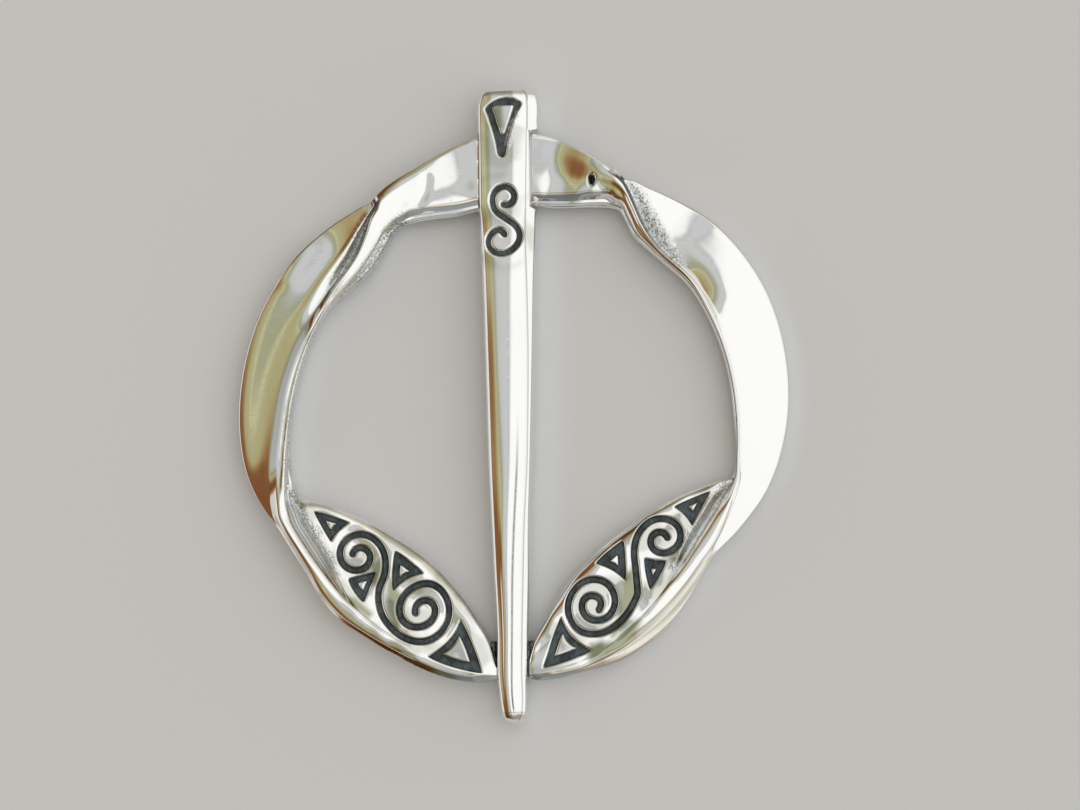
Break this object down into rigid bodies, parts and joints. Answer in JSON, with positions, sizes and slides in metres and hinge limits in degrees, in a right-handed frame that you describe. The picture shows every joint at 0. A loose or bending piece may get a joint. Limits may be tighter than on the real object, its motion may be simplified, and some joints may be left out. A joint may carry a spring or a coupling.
{
  "type": "ring brooch with swinging pin",
  "caption": "Silver ring brooch for a lapel or scarf: a twisted open ring whose ends are scroll-ornamented plates, with a broad tapering pin that swings on its top.",
  "frame": {"origin": "on the surface that the brooch lies on, under the middle of its length and width", "axes": "+X across the ring to the right as seen from the front, +Y along the pin towards its ornamented head, +Z out of the face"},
  "size_m": [0.0455, 0.0522, 0.0033],
  "materials": {
    "silver": "cast silver, polished on the high faces, blackened in the sunk ornament and left rough in the narrow hollows"
  },
  "bodies": {
    "ring_body": {"ring": "silver"},
    "pin_body": {"pin": "silver"}
  },
  "joints": [
    {"name": "pin_swing", "type": "hinge", "parent": "ring_body", "child": "pin_body", "pos_m": [-0.00028, 0.01911, 0.00175], "axis": [-1, 0, 0], "range_deg": [0, 355]}
  ]
}
